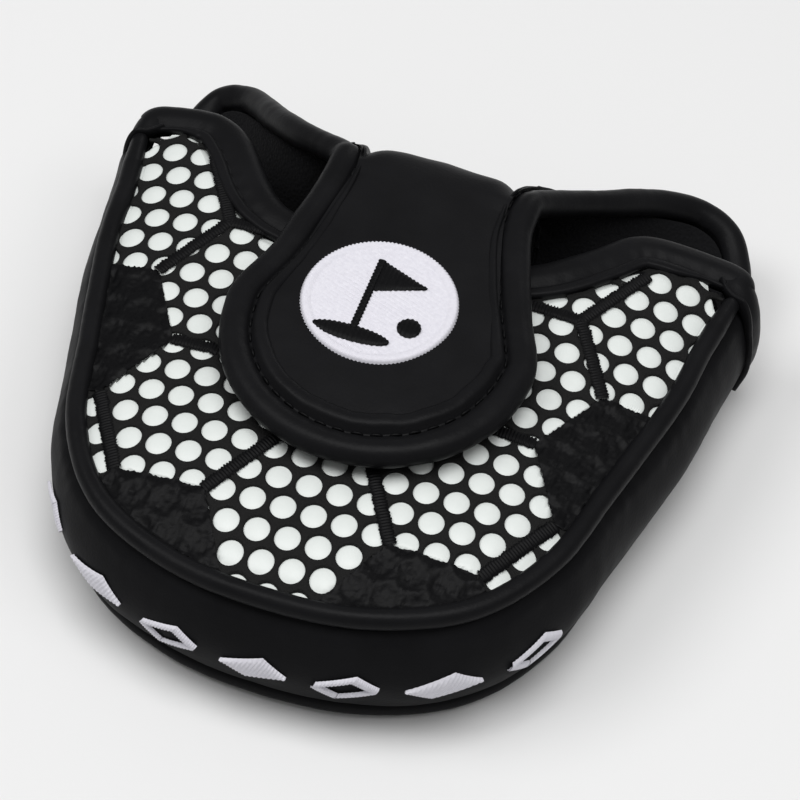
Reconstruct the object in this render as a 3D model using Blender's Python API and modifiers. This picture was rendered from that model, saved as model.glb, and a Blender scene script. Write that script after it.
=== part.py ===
"""Mallet putter head cover: a padded U-shaped pouch, closed by a flap that folds over its mouth.

Metres, +Z up. +X is to the right and +Y runs from the toe of the U out through the mouth.
The origin lies on the flat underside of the back panel. Dimensions below are in millimetres.
"""
import math

import bmesh
import bpy
from mathutils import Matrix, Vector

MM = 0.001
GAP = 0.3                                  # clearance between pieces that touch
COLUMNS = 33                               # points along the pouch's outline, mouth and welts

# Pouch outline: right half of the front panel's edge, from the toe to the ear
HALF_OUTLINE = [(0, -52), (18, -50), (34.5, -42), (44.7, -27.5), (49.6, -9), (55.5, 15.5), (57.3, 30), (59.7, 44)]
# Front mouth edge from the middle to each ear, as distances from the middle. The left half hangs lower.
RIGHT_MOUTH = [(0, 25.5), (14, 26.5), (26, 30.5), (34, 36.8), (41, 43.6), (46.5, 48.4), (52, 50),
               (57, 48.8), (59, 46.6)]
LEFT_MOUTH = [(0, 25.5), (14, 25.2), (26, 26.4), (32.6, 29.4), (38, 34.8), (42, 40.5), (46.5, 46), (52, 48.8),
              (57, 48.4), (59, 46.6)]
# Back panel's free edge from the flap's root down to each gusset end. The left half is drawn in tighter.
RIGHT_RIM = [(15.8, 43, 42.4), (16.6, 48, 41), (19.6, 53.5, 36.5), (25, 60, 30), (34, 67.4, 21.6),
             (43.5, 73.2, 15.6), (50, 74.6, 12.6), (55, 71, 10.5), (57.6, 60, 7), (59, 48.5, 3)]
LEFT_RIM = [(15.8, 43, 42.4), (16.6, 47.6, 41.1), (20, 51.2, 37.2), (27.5, 55, 30.9), (37, 60.6, 23.6),
            (44.5, 67, 17.6), (50.5, 71.4, 13.4), (55, 70.6, 10.5), (57.6, 60, 7), (59, 48.5, 3)]

FRONT_Z = 30.8                             # top of the front panel along its edge
CROWN = 4.2                                # how far the front panel's middle stands above its edge
CROWN_FALL = 12                            # width of the slope from the edge up to the crown
FLAT_END = 30                              # where the back panel starts to leave the ground
GUSSET_BOTTOM, GUSSET_TOP = 4.9, 28.2
GUSSET_OFFSET = 4.6                        # from the panel edge out to the gusset's outer face
GUSSET_BULGE = 3.2
GUSSET_END_INSET = 2.4                     # from the outer face in to the middle of the gusset's layers
GUSSET_END_LOW, GUSSET_END_HIGH = 0.2, 0.96

# Back panel between its flat part and its free edge: slope at the ears, extra turn at the fold, fall-off
EAR_TURN, FOLD_TURN, TURN_FALL = 20, 160, 12.5
LOW_PULL, LOW_PULL_FALL = 31, 17           # how far the curve holds its first direction, and less at the ears
HIGH_PULL, HIGH_PULL_FALL = 20, 8

SKIN, FOAM, LINING = 1.2, 2.0, 0.6         # thicknesses of the layers of each wall
MESH = 0.7
PATCH = 0.5

WELT_RADIUS, WELT_WALL, WELT_OFFSET = 2.0, 0.75, 2.4
WELT_CORD_RADIUS = 0.8
ROLL_RADIUS = 2.6                          # padded binding round the mouth and the flap
THIN_ROLL = 2.5                            # the same binding where it closes the front and the gusset
FLAP_CORD_RADIUS = 1.4
BAND_WIDTH, BAND_THICK = 3.2, 0.6          # flat folded edge of the binding, beside its roll

HINGE_Y, HINGE_Z = 41, 43.7
FLAP_MID = 39.2                            # middle of the flap's thickness at its edge
FLAP_CROWN = 0.6
FLAP_FOAM = 3.0
FLAP_CENTRE_Y = 4                          # centre of the flap's round tip
FLAP_TIP_RADIUS = 30.5                     # outside the binding
FLAP_ROOT_HALF = 21.5                      # outside the binding, at the hinge
BADGE_Y, BADGE_RADIUS, BADGE_THICK = 9.5, 15.2, 0.8
BADGE_MARK = 0.35                          # thickness of the flag, hole and ball

HEX_SIDE = 18                              # hexagons of the front panel's pattern
HEX_Y = -36.9                              # centre of the hexagon nearest the toe

MAGNET_X, MAGNET_Y, MAGNET_RADIUS, MAGNET_THICK = 10, -9, 6, 1.5
MOTIF_COUNT, MOTIF_PITCH, MOTIF_LENGTH, MOTIF_HEIGHT, MOTIF_Z = 7, 15.7, 11, 7.4, 15.5
MOTIF_THICK, MOTIF_SLANT, MOTIF_TAPER = 0.7, 1.4, 0.45
CUT_LOW, CUT_HIGH = 20, 50                 # reach of the upright cutters

# Colours and finish: base colour, roughness, metallic
BLACK_LEATHER = ((0.012, 0.012, 0.013), 0.42, 0)
BLACK_FABRIC = ((0.015, 0.015, 0.016), 0.8, 0)
PALE_PU = ((0.80, 0.83, 0.81), 0.35, 0)
FOAM_GREY = ((0.25, 0.25, 0.26), 0.95, 0)
LINING_CHARCOAL = ((0.05, 0.05, 0.055), 0.9, 0)
WHITE_THREAD = ((0.85, 0.84, 0.88), 0.5, 0)
BLACK_THREAD = ((0.01, 0.01, 0.01), 0.55, 0)
WHITE_CORD = ((0.7, 0.7, 0.68), 0.8, 0)
STEEL = ((0.62, 0.63, 0.65), 0.3, 1)


# ---------------------------------------------------------------- scene helpers

def clear_scene():
    for obj in list(bpy.data.objects):
        bpy.data.objects.remove(obj, do_unlink=True)


def new_collection(name):
    group = bpy.data.collections.new(name)
    bpy.context.scene.collection.children.link(group)
    return group


def finish_object(obj, look, group):
    """Give an object its own material and put it in its collection."""
    colour, roughness, metallic = look
    material = bpy.data.materials.new(obj.name)
    material.use_nodes = True
    shader = material.node_tree.nodes["Principled BSDF"]
    shader.inputs["Base Color"].default_value = (*colour, 1)
    shader.inputs["Roughness"].default_value = roughness
    shader.inputs["Metallic"].default_value = metallic
    obj.data.materials.append(material)
    group.objects.link(obj)
    return obj


def mark_cutter(obj, group):
    obj.hide_render = True
    obj.display_type = 'WIRE'
    group.objects.link(obj)
    return obj


# ---------------------------------------------------------------- curves in the plan and in space

def smooth(points, count):
    """A Catmull-Rom curve through the points, as count points at equal spacing."""
    knots = [Vector(p) for p in points]
    ends = [2 * knots[0] - knots[1]] + knots + [2 * knots[-1] - knots[-2]]
    fine = []
    for a, b, c, d in zip(ends, ends[1:], ends[2:], ends[3:]):
        for step in range(24):
            t = step / 24
            fine.append(0.5 * (2 * b + (c - a) * t + (2 * a - 5 * b + 4 * c - d) * t * t
                               + (3 * b - a - 3 * c + d) * t ** 3))
    fine.append(knots[-1])
    return spaced(fine, count)


def spaced(points, count):
    """The same line, as count points at equal spacing."""
    reach = [0]
    for a, b in zip(points, points[1:]):
        reach.append(reach[-1] + (b - a).length)
    result = []
    k = 0
    for i in range(count):
        want = reach[-1] * i / (count - 1)
        while k < len(points) - 2 and reach[k + 1] < want:
            k += 1
        span = reach[k + 1] - reach[k]
        result.append(points[k].lerp(points[k + 1], (want - reach[k]) / span))
    return result


def joined(left, right):
    """A line from the left end to the right end of two halves that share their middle point."""
    return [(-p[0], *p[1:]) for p in reversed(left[1:])] + list(right)


def swapped(line):
    """A line mirrored from one side to the other, so that it still runs from left to right."""
    return [Vector((-p.x, p.y, p.z)) for p in reversed(line)]


def offset(path, distance):
    """A plan line moved to its right-hand side, which is outward on the pouch outline."""
    moved = []
    for i, point in enumerate(path):
        along = (path[min(i + 1, len(path) - 1)] - path[max(i - 1, 0)]).normalized()
        moved.append(point + Vector((along.y, -along.x)) * distance)
    return moved


def distance_to(path, x, y):
    """Shortest distance in the plan from (x, y) to a line."""
    here = Vector((x, y))
    best = math.inf
    for a, b in zip(path, path[1:]):
        side = b - a
        t = max(0, min(1, (here - a).dot(side) / side.length_squared))
        best = min(best, (here - a - side * t).length)
    return best


OUTLINE = smooth(joined(HALF_OUTLINE, HALF_OUTLINE), COLUMNS)
MOUTH = smooth(joined(LEFT_MOUTH, RIGHT_MOUTH), COLUMNS)


def front_height(x, y):
    """Top of the front panel: pulled down along the outline and crowned inside it."""
    return FRONT_Z + CROWN * (1 - math.exp(-distance_to(OUTLINE, x, y) / CROWN_FALL))


# ---------------------------------------------------------------- shapes

def ruled(lower, upper, rows, height):
    """Rows of points between two plan lines, lifted by a height function."""
    grid = []
    for j in range(rows + 1):
        line = [a.lerp(b, j / rows) for a, b in zip(lower, upper)]
        grid.append([Vector((p.x, p.y, height(p.x, p.y))) for p in line])
    return grid


def grid_mesh(name, grid):
    """An open sheet of quads, whose normals point up where its rows run from -Y to +Y."""
    mesh = bpy.data.meshes.new(name)
    wide = len(grid[0])
    verts = [p * MM for row in grid for p in row]
    faces = []
    for j in range(len(grid) - 1):
        for i in range(wide - 1):
            a = j * wide + i
            faces.append((a, a + 1, a + wide + 1, a + wide))
    mesh.from_pydata(verts, [], faces)
    return mesh


def layer(name, grid, low, high, look, group):
    """A sheet of even thickness, from low to high above a grid along its normals."""
    obj = bpy.data.objects.new(name, grid_mesh(name, grid))
    shell = obj.modifiers.new("thickness", 'SOLIDIFY')
    shell.thickness = (high - low) * MM
    shell.offset = (high + low) / (high - low)
    shell.use_quality_normals = True
    return finish_object(obj, look, group)


def tube(name, paths, radius, sides, look, group, wall=0):
    """Round tubes along poly lines: solid with caps, or with a wall and open ends."""
    data = bpy.data.curves.new(name, 'CURVE')
    data.dimensions = '3D'
    data.bevel_depth = radius * MM
    data.bevel_resolution = (sides - 4) // 2
    data.use_fill_caps = wall == 0
    for path in paths:
        spline = data.splines.new('POLY')
        spline.points.add(len(path) - 1)
        for point, place in zip(spline.points, path):
            point.co = (*(place * MM), 1)
    obj = bpy.data.objects.new(name, data)
    if wall:
        shell = obj.modifiers.new("wall", 'SOLIDIFY')
        shell.thickness = wall * MM
        shell.offset = -1
    return finish_object(obj, look, group)


def prism(name, outline, low, high, mesh=None):
    """A closed upright prism over a plan outline, added to a mesh."""
    bm = bmesh.new()
    if mesh:
        bm.from_mesh(mesh)
    base = bm.faces.new([bm.verts.new((x * MM, y * MM, low * MM)) for x, y in outline])
    made = bmesh.ops.extrude_face_region(bm, geom=[base])
    top = [v for v in made["geom"] if isinstance(v, bmesh.types.BMVert)]
    bmesh.ops.translate(bm, verts=top, vec=(0, 0, (high - low) * MM))
    bmesh.ops.recalc_face_normals(bm, faces=bm.faces)
    mesh = mesh or bpy.data.meshes.new(name)
    bm.to_mesh(mesh)
    bm.free()
    return mesh


def disc(name, x, y, z, radius, thick, look, group, sides=32):
    bm = bmesh.new()
    place = Matrix.Translation(Vector((x, y, z)) * MM)
    bmesh.ops.create_cone(bm, cap_ends=True, segments=sides, radius1=radius * MM, radius2=radius * MM,
                          depth=thick * MM, matrix=place)
    mesh = bpy.data.meshes.new(name)
    bm.to_mesh(mesh)
    bm.free()
    return finish_object(bpy.data.objects.new(name, mesh), look, group)


def combine(obj, other, operation):
    change = obj.modifiers.new(operation.lower(), 'BOOLEAN')
    change.operation = operation
    change.solver = 'EXACT'
    change.object = other


# ---------------------------------------------------------------- front panel

def hexagon(x, y, side):
    turns = [math.radians(60 * k) for k in range(6)]
    return [(x + side * math.cos(turn), y + side * math.sin(turn)) for turn in turns]


def hex_centre(column, row):
    """Centres of a honeycomb whose hexagons have corners on their left and right."""
    return (1.5 * HEX_SIDE * column, HEX_Y + math.sqrt(3) * HEX_SIDE * (row + (column % 2) / 2))


DARK_HEXES = [(-1, -1), (1, -1), (-2, 1), (2, 1)]


def front_pieces(pouch, cutters):
    inset = offset(OUTLINE, -GAP)
    grid = ruled(inset, MOUTH, 3, front_height)
    patch_top = -MESH - GAP
    base_top = patch_top - PATCH - GAP
    foam_top = base_top - SKIN - GAP
    lining_top = foam_top - FOAM - GAP
    layer("front_mesh", grid, -MESH, 0, BLACK_FABRIC, pouch)
    layer("front_base_panel", grid, base_top - SKIN, base_top, PALE_PU, pouch)
    foam = layer("front_foam", grid, foam_top - FOAM, foam_top, FOAM_GREY, pouch)
    layer("front_lining", grid, lining_top - LINING, lining_top, LINING_CHARCOAL, pouch)

    for number, cell in enumerate(DARK_HEXES, 1):
        patch = layer(f"front_dark_patch_{number}", grid, patch_top - PATCH, patch_top, BLACK_FABRIC, pouch)
        shape = prism(f"dark_hexagon_{number}", hexagon(*hex_centre(*cell), HEX_SIDE - GAP), CUT_LOW, CUT_HIGH)
        cutter = mark_cutter(bpy.data.objects.new(f"dark_hexagon_{number}", shape), cutters)
        combine(patch, cutter, 'INTERSECT')

    for side, x in (("left", -MAGNET_X), ("right", MAGNET_X)):
        z = front_height(x, MAGNET_Y) + foam_top - FOAM / 2
        disc(f"keeper_magnet_{side}", x, MAGNET_Y, z, MAGNET_RADIUS, MAGNET_THICK, STEEL, pouch, 24)
    combine(foam, magnet_cutter("keeper_pockets", cutters), 'DIFFERENCE')


def magnet_cutter(name, cutters):
    shape = None
    for x in (-MAGNET_X, MAGNET_X):
        ring = [(x + (MAGNET_RADIUS + GAP) * math.cos(math.radians(15 * k)),
                 MAGNET_Y + (MAGNET_RADIUS + GAP) * math.sin(math.radians(15 * k))) for k in range(24)]
        shape = prism(name, ring, CUT_LOW, CUT_HIGH, shape)
    return mark_cutter(bpy.data.objects.new(name, shape), cutters)


def front_rim(pouch):
    """Padded roll along the front mouth edge, with its flat folded band inside it."""
    outside = offset(MOUTH, -(ROLL_RADIUS + GAP))
    middle = -(MESH + PATCH + SKIN + FOAM + LINING + 4 * GAP) / 2
    roll = [Vector((p.x, p.y, front_height(q.x, q.y) + middle)) for p, q in zip(outside, MOUTH)]
    tube("front_rim_binding", [roll], THIN_ROLL, 8, BLACK_LEATHER, pouch)
    inner = offset(MOUTH, BAND_WIDTH)[3:-3]
    band = ruled(inner, MOUTH[3:-3], 1, front_height)
    top = 0.4 + 2 * GAP
    layer("front_rim_band", band, top, top + BAND_THICK, BLACK_LEATHER, pouch)


# ---------------------------------------------------------------- gusset and welts

def gusset_point(place, outward, level):
    """A point of the gusset's outer face: level runs from 0 at its foot to 1 at its top."""
    out = GUSSET_OFFSET + GUSSET_BULGE * math.sin(math.pi * level)
    z = GUSSET_BOTTOM + (GUSSET_TOP - GUSSET_BOTTOM) * level
    return Vector((*(place + outward * out), z))


def outward_of(path, i):
    along = (path[min(i + 1, len(path) - 1)] - path[max(i - 1, 0)]).normalized()
    return Vector((along.y, -along.x))


def gusset_pieces(pouch):
    rows = 4
    grid = [[gusset_point(p, outward_of(OUTLINE, i), j / rows) for i, p in enumerate(OUTLINE)]
            for j in range(rows + 1)]
    foam_top = -SKIN - GAP
    lining_top = foam_top - FOAM - GAP
    layer("gusset_outer", grid, -SKIN, 0, BLACK_LEATHER, pouch)
    layer("gusset_foam", grid, foam_top - FOAM, foam_top, FOAM_GREY, pouch)
    layer("gusset_lining", grid, lining_top - LINING, lining_top, LINING_CHARCOAL, pouch)
    for side, i, inner in (("left", 0, 1), ("right", -1, -2)):
        along = (OUTLINE[i] - OUTLINE[inner]).normalized() * (ROLL_RADIUS + GAP)
        outward = outward_of(OUTLINE, 0 if side == "left" else len(OUTLINE) - 1)
        path = []
        for j in range(7):
            level = GUSSET_END_LOW + (GUSSET_END_HIGH - GUSSET_END_LOW) * j / 6
            point = gusset_point(OUTLINE[i] - outward * GUSSET_END_INSET, outward, level)
            path.append(point + Vector((*along, 0)))
        tube(f"gusset_end_binding_{side}", [path], THIN_ROLL, 8, BLACK_LEATHER, pouch)
    motifs(pouch)


def motifs(pouch):
    """Raised slanted lozenges, evenly spaced round the toe of the gusset."""
    fine = smooth(joined(HALF_OUTLINE, HALF_OUTLINE), 400)
    step = sum((b - a).length for a, b in zip(fine, fine[1:])) / 399
    middle = (MOTIF_COUNT - 1) / 2
    high = MOTIF_HEIGHT / (GUSSET_TOP - GUSSET_BOTTOM)
    level = (MOTIF_Z - GUSSET_BOTTOM) / (GUSSET_TOP - GUSSET_BOTTOM)
    for k in range(MOTIF_COUNT):
        centre = (k - middle) * MOTIF_PITCH
        rows = []
        for j in range(3):
            half = MOTIF_LENGTH / 2 * (1 if j == 1 else MOTIF_TAPER)
            slant = (j - 1) * MOTIF_SLANT
            row = []
            for i in range(5):
                reach = centre + slant + half * (i / 2 - 1)
                at = round(199.5 + reach / step)
                row.append(gusset_point(fine[at], outward_of(fine, at), level + high * (j - 1) / 2))
            rows.append(row)
        layer(f"gusset_motif_{k + 1}", rows, GAP, GAP + MOTIF_THICK, WHITE_THREAD, pouch)


def welt_path(height, count):
    line = spaced(offset(smooth(joined(HALF_OUTLINE, HALF_OUTLINE), 200), WELT_OFFSET), count)
    return [Vector((p.x, p.y, height)) for p in line]


def welt_pieces(pouch):
    """Piping in the two seams of the gusset: a leather sleeve round a cord."""
    clear = WELT_RADIUS + GAP + 0.1
    for name, height in (("front_welt", GUSSET_TOP + clear), ("back_welt", GUSSET_BOTTOM - clear)):
        tube(name, [welt_path(height, COLUMNS)], WELT_RADIUS, 8, BLACK_LEATHER, pouch, WELT_WALL)
        tube(f"{name}_cord", [welt_path(height, COLUMNS)], WELT_CORD_RADIUS, 6, WHITE_CORD, pouch)


# ---------------------------------------------------------------- back panel, riser and its rim

def back_grid():
    """Outer face of the back panel: flat, then rising to the fold in the middle and flared at the ears."""
    count = 27
    flat = [p for p in smooth(joined(HALF_OUTLINE, HALF_OUTLINE), 200) if p.y < FLAT_END - 2.5]
    toe = offset(spaced(flat, count), -GAP)
    fold = RIGHT_RIM[0][0]
    middle = [Vector((fold * k / 3, *RIGHT_RIM[0][1:])) for k in range(-2, 3)]
    edge = swapped(smooth(LEFT_RIM, 11)) + middle + smooth(RIGHT_RIM, 11)
    widest = edge[-1].x
    side = toe[-1].x
    start = [Vector((p.x / widest * side, FLAT_END, 0)) for p in edge]
    grid = []
    for j in range(2):
        grid.append([Vector((a.x, a.y, 0)).lerp(b, j / 2) for a, b in zip(toe, start)])
    rows = 6
    for j in range(rows + 1):
        t = j / rows
        row = []
        for a, d in zip(start, edge):
            turn = math.radians(EAR_TURN + FOLD_TURN * math.exp(-max(0, abs(d.x) - fold) / TURN_FALL))
            share = min(1, abs(d.x) / widest)
            b = a + Vector((0, LOW_PULL - LOW_PULL_FALL * share, 0))
            c = d - Vector((0, math.cos(turn), math.sin(turn))) * (HIGH_PULL - HIGH_PULL_FALL * share)
            s = 1 - t
            row.append(a * s ** 3 + b * 3 * s * s * t + c * 3 * s * t * t + d * t ** 3)
        grid.append(row)
    return grid


def back_pieces(pouch):
    grid = back_grid()
    foam_low = SKIN + GAP
    lining_low = foam_low + FOAM + GAP
    layer("back_outer", grid, 0, SKIN, BLACK_LEATHER, pouch)
    inner_grid = [row[1:-1] for row in grid]
    layer("back_foam", inner_grid, foam_low, foam_low + FOAM, FOAM_GREY, pouch)
    layer("back_lining", inner_grid, lining_low, lining_low + LINING, LINING_CHARCOAL, pouch)
    edge, inner = grid[-1], grid[-2]
    right = rim_path(edge, inner)
    left = swapped(rim_path(swapped(edge), swapped(inner)))
    tube("back_rim_binding_left", [left], ROLL_RADIUS, 8, BLACK_LEATHER, pouch)
    tube("back_rim_binding_right", [right], ROLL_RADIUS, 8, BLACK_LEATHER, pouch)


def rim_path(edge, inner):
    """Middle line of the roll along the right half of the back panel's free edge, from the flap's root."""
    middle = (SKIN + FOAM + LINING + 2 * GAP) / 2
    last = len(edge) - 1
    path = [Vector((FLAP_ROOT_HALF - ROLL_RADIUS, HINGE_Y + 5 * GAP, FLAP_MID))]
    for i in range(len(edge) // 2 + 4, last + 1):
        along = (edge[min(i + 1, last)] - edge[i - 1]).normalized()
        reach = edge[i] - inner[i]
        normal = along.cross(reach).normalized()
        outward = along.cross(normal).normalized()
        if outward.dot(reach) < 0:
            outward = -outward
        path.append(edge[i] + outward * (ROLL_RADIUS + 3 * GAP) + normal * middle)
    return path


# ---------------------------------------------------------------- flap

def flap_height(x, y):
    reach = math.hypot(x, (y - FLAP_CENTRE_Y) * (1 if y < FLAP_CENTRE_Y else 0)) / FLAP_TIP_RADIUS
    return FLAP_MID + FLAP_CROWN * max(0, 1 - reach ** 2)


def flap_line(inset, count):
    """Plan line of the flap from its left root round the tip to its right root, inset from its outside."""
    radius = FLAP_TIP_RADIUS - inset
    root = Vector((FLAP_ROOT_HALF - inset, HINGE_Y - GAP - 0.1))
    arc = []
    for k in range(25):
        turn = math.radians(-180 + 180 * k / 24)
        arc.append(Vector((radius * math.cos(turn), FLAP_CENTRE_Y + radius * math.sin(turn))))
    return spaced([Vector((-root.x, root.y))] + arc + [root], count)


def flap_pieces(flap, cutters):
    inset = 2 * ROLL_RADIUS + 2 * GAP
    radius = FLAP_TIP_RADIUS - inset
    columns = 17
    toe = [Vector((-radius * math.cos(math.pi * k / (columns - 1)),
                   FLAP_CENTRE_Y - radius * math.sin(math.pi * k / (columns - 1)))) for k in range(columns)]
    root_half = FLAP_ROOT_HALF - inset
    root = [Vector((root_half * (2 * k / (columns - 1) - 1), HINGE_Y - GAP - 0.1)) for k in range(columns)]
    grid = ruled(toe, root, 4, flap_height)
    half = FLAP_FOAM / 2
    layer("flap_outer", grid, half + GAP, half + GAP + SKIN, BLACK_LEATHER, flap)
    foam = layer("flap_foam", grid, -half, half, FOAM_GREY, flap)
    layer("flap_lining", grid, -half - GAP - SKIN, -half - GAP, BLACK_FABRIC, flap)
    top = half + GAP + SKIN

    line = flap_line(ROLL_RADIUS, 33)
    tube("flap_binding", [[Vector((p.x, p.y, FLAP_MID)) for p in line]], ROLL_RADIUS, 8, BLACK_LEATHER, flap,
         WELT_WALL)
    tube("flap_binding_cord", [[Vector((p.x, p.y, FLAP_MID)) for p in line]], FLAP_CORD_RADIUS, 6,
         WHITE_CORD, flap)

    outer, inner = flap_line(inset + 0.2, 29), flap_line(inset + 0.2 + BAND_WIDTH, 29)
    band_low = top + GAP
    band = ruled(outer, inner, 1, flap_height)
    layer("flap_band", band, band_low, band_low + BAND_THICK, BLACK_LEATHER, flap)
    badge(top + GAP, flap)
    for side, x in (("left", -MAGNET_X), ("right", MAGNET_X)):
        z = flap_height(x, MAGNET_Y)
        disc(f"flap_magnet_{side}", x, MAGNET_Y, z, MAGNET_RADIUS, MAGNET_THICK, STEEL, flap, 24)
    combine(foam, magnet_cutter("flap_pockets", cutters), 'DIFFERENCE')


def badge(low, flap):
    """Round embroidered badge with a small flag, hole and ball on it."""
    z = FLAP_MID + FLAP_CROWN + low
    disc("badge_disc", 0, BADGE_Y, z + BADGE_THICK / 2, BADGE_RADIUS, BADGE_THICK, WHITE_THREAD, flap, 40)
    z += BADGE_THICK + GAP
    flag = [(-3.1, -7.1), (-1.9, -7.1), (-1.9, 2.2), (7.5, 5.7), (-1.9, 9.4), (-3.1, 9.4)]
    hole = [(-2.5 + 7.5 * math.cos(math.radians(20 * k)), -9.2 + 1.8 * math.sin(math.radians(20 * k)))
            for k in range(18)]
    ball = [(7.5 + 2.2 * math.cos(math.radians(30 * k)), -4.2 + 2.2 * math.sin(math.radians(30 * k)))
            for k in range(12)]
    for name, outline in (("badge_flag", flag), ("badge_hole", hole), ("badge_ball", ball)):
        shape = prism(name, [(x, y + BADGE_Y) for x, y in outline], z, z + BADGE_MARK)
        finish_object(bpy.data.objects.new(name, shape), BLACK_THREAD, flap)


def hang_flap(flap):
    """Parent the flap's pieces to an empty on the fold's axis."""
    hinge = bpy.data.objects.new("flap_fold", None)
    hinge.location = Vector((0, HINGE_Y, HINGE_Z)) * MM
    bpy.context.scene.collection.objects.link(hinge)
    for obj in flap.objects:
        obj.parent = hinge
        obj.matrix_parent_inverse = Matrix.Translation(-hinge.location)


def main():
    clear_scene()
    cover = new_collection("putter_head_cover")
    cutters = new_collection("cutters")
    pouch = bpy.data.collections.new("pouch")
    flap = bpy.data.collections.new("flap")
    cover.children.link(pouch)
    cover.children.link(flap)
    front_pieces(pouch, cutters)
    front_rim(pouch)
    gusset_pieces(pouch)
    welt_pieces(pouch)
    back_pieces(pouch)
    flap_pieces(flap, cutters)
    hang_flap(flap)


main()
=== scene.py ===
"""Looks of the putter head cover: leather, mesh, embroidery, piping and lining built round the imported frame.

Lengths are in millimetres unless a name says otherwise, and turn into metres as each mesh is made.
"""
import math

import bpy
import numpy as np
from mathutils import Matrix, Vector, noise


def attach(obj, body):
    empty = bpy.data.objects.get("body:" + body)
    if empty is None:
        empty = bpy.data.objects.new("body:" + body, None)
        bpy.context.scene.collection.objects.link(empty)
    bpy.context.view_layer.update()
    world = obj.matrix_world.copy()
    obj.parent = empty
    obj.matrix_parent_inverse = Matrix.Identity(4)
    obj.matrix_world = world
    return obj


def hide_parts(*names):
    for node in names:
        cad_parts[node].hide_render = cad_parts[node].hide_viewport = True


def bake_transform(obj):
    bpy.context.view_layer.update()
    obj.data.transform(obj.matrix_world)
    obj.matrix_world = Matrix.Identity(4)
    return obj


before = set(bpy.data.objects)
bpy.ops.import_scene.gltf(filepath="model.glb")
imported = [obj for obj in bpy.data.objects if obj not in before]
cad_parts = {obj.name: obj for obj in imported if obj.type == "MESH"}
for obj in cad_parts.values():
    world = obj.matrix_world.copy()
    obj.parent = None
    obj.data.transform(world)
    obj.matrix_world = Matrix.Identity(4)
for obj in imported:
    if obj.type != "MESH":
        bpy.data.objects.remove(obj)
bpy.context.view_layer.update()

MM = 0.001

# Camera, in degrees and millimetres
YAW, PITCH, TILT = 15.27, 51.6, 4.09
AIM, DISTANCE = (8.69, -2.59, 30.8), 617.2
LENS, SENSOR = 146.2, 36

# Lights: name, place, target and size in metres, power in watts
LIGHTS = [("key", (-0.5, -0.15, 0.85), (0, 0, 0.02), 0.5, 3.0),
          ("side", (0.5, -0.1, 0.85), (0, 0, 0.02), 0.5, 1.4),
          ("top", (0.05, -0.1, 1.0), (0, 0, 0.02), 0.6, 5.2),
          ("back", (0.15, 0.9, 0.4), (0, 0, 0.03), 0.35, 0.6)]
WORLD_STRENGTH = 0.26
FLOOR_HALF, FLOOR_DROP, FLOOR_GREY = 3.0, 0.0005, 0.80

# Outline and rims of the frame: x, y and, on the rims, z. Every half starts at the middle.
HALF_OUTLINE = [(0, -52), (18, -50), (34.5, -42), (44.7, -27.5), (49.6, -9), (55.5, 15.5), (57.3, 30),
                (59.7, 44)]
RIGHT_MOUTH = [(0, 25.5), (14, 26.5), (26, 30.5), (34, 36.8), (41, 43.6), (46.5, 48.4), (52, 50), (57, 48.8),
               (59, 46.6)]
LEFT_MOUTH = [(0, 25.5), (14, 25.2), (26, 26.4), (32.6, 29.4), (38, 34.8), (42, 40.5), (46.5, 46), (52, 48.8),
              (57, 48.4), (59, 46.6)]
RIGHT_RIM = [(15.8, 43, 42.4), (16.6, 48, 41), (19.6, 53.5, 36.5), (25, 60, 30), (34, 67.4, 21.6),
             (43.5, 73.2, 15.6), (50, 74.6, 12.6), (55, 71, 10.5), (57.6, 60, 7), (59, 48.5, 3)]
LEFT_RIM = [(15.8, 43, 42.4), (16.6, 47.6, 41.1), (20, 51.2, 37.2), (27.5, 55, 30.9), (37, 60.6, 23.6),
            (44.5, 67, 17.6), (50.5, 71.4, 13.4), (55, 70.6, 10.5), (57.6, 60, 7), (59, 48.5, 3)]
FOLD_HALF, FOLD_Y = RIGHT_RIM[0][:2]
CURVE_STEPS = 40  # points between two given points, before they are spaced evenly

# Front panel
FRONT_Z, CROWN, CROWN_FALL = 30.8, 4.2, 12
PANEL_SWELL, SWELL_X, SWELL_Y, SWELL_INSET = 0.25, 11, 13, 10
PANEL_EDGE, MOUTH_EDGE, BACKING_EDGE = 0.5, 2.6, 2.5
TUCK_START, TUCK_FALL = 2.8, 1.4  # where the panel dips under the band along its mouth
MESH_TUCK, BACKING_TUCK = 0.5, 0.9
BACKING_DEPTH, BACKING_DOME, BACKING_FLAT = 0.62, 0.42, -0.5
HEX_SIDE, HEX_Y, HEX_INSET = 18, -36.9, 0.3
HOLE_STEP, HOLE_ROW, HOLE_RADIUS, HOLE_STRETCH, HOLE_Y = 5.95, 5.9, 2.45, 1.06, -30
HOLE_SIDES, CELL_POINT = 24, 0.74  # a cell's points stand out above and below its sides
LIP_LOW, LIP_MIDDLE, LIP_TOP, CELL_TOP, CELL_BORDER = -0.55, -0.2, -0.02, 0.1, 0.02
LIP_ROUND, CELL_SHARE = 1.03, 0.55
CELL_ROWS, CELL_COLUMNS, CELL_REACH = range(-6, 18), range(-12, 13), 4

# Embroidery
PATCH_RISE, PATCH_NAP, PATCH_FLECK = 0.36, 0.3, 0.3
DIMPLE_DEPTH, DIMPLE_REACH, DIMPLE_LIMIT = 0.8, 1.25, 0.6
BAND_HALF, BAND_OVERRUN, BAND_ROW, BAND_SIDES = 1.25, 0.4, 0.16, 9
BAND_RISE, BAND_RIDGE, BAND_GAP, BAND_LEAST = 0.42, 0.12, 0.02, 0.12

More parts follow.
